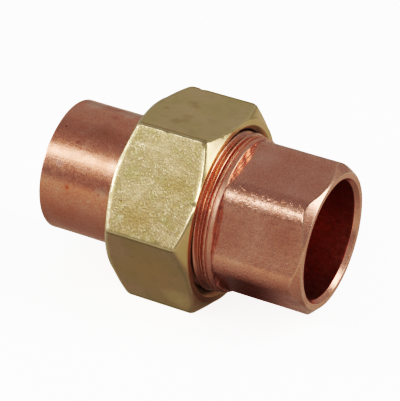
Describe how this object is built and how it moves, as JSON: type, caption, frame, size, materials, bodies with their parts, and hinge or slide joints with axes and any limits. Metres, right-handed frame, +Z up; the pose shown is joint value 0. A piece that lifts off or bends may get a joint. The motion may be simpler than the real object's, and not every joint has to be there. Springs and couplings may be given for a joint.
{
  "type": "pipe union",
  "caption": "Straight pipe union with two solder sockets: round tailpiece, hexagonal union nut and threaded end with hexagonal wrench flats.",
  "frame": {"origin": "on the pipe axis, midway between the two pipe ends", "axes": "+X along the pipe axis towards the threaded end's socket, +Z up, with the union nut lying on one of its flats"},
  "size_m": [0.0538, 0.0402, 0.035],
  "materials": {
    "tailpiece_copper": "bright drawn copper with faint marks",
    "nut_brass": "tumbled brass with fine scratches and turned chamfers",
    "threaded_end_copper": "satin copper with fine marks and turned rims"
  },
  "bodies": {
    "threaded_end": {"threaded_end": "threaded_end_copper"},
    "tailpiece": {"tailpiece": "tailpiece_copper"},
    "union_nut": {"union_nut": "nut_brass"}
  },
  "joints": [
    {"name": "tailpiece_slide", "type": "slide", "parent": "threaded_end", "child": "tailpiece", "axis": [-1, 0, 0], "range_m": [0, 0.01111]},
    {"name": "nut_turn", "type": "hinge", "parent": "tailpiece", "child": "union_nut", "pos_m": [-0.0017, 0, 0], "axis": [-1, 0, 0], "range_deg": [0, 2520]}
  ],
  "couplings": [
    {"joint": "tailpiece_slide", "follows": "nut_turn", "m_per_rad": 0.00025266}
  ]
}
